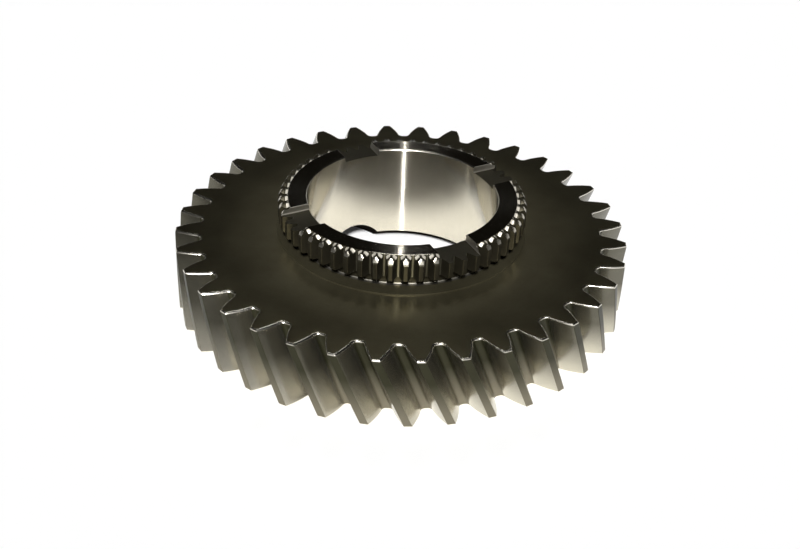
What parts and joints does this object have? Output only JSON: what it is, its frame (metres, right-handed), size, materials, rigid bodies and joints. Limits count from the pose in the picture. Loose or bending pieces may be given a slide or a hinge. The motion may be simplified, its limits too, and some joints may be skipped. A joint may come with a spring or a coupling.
{
  "type": "helical transmission gear",
  "caption": "Left-hand helical transmission gear with a plain bore, and a slotted clutch ring of pointed dog teeth on its upper face.",
  "frame": {"origin": "on the bore's axis, in the plane of the lower face", "axes": "+Z along the bore's axis, from the lower face to the clutch ring; +X and +Y lie in the lower face, and the directions of teeth, slots and notches are counted anticlockwise from +X"},
  "size_m": [0.1428, 0.1428, 0.0351],
  "materials": {
    "steel": "hardened steel, turned and ground, with a dark satin face and bright chamfers"
  },
  "bodies": {
    "root": {"transmission_gear": "steel"}
  },
  "joints": []
}
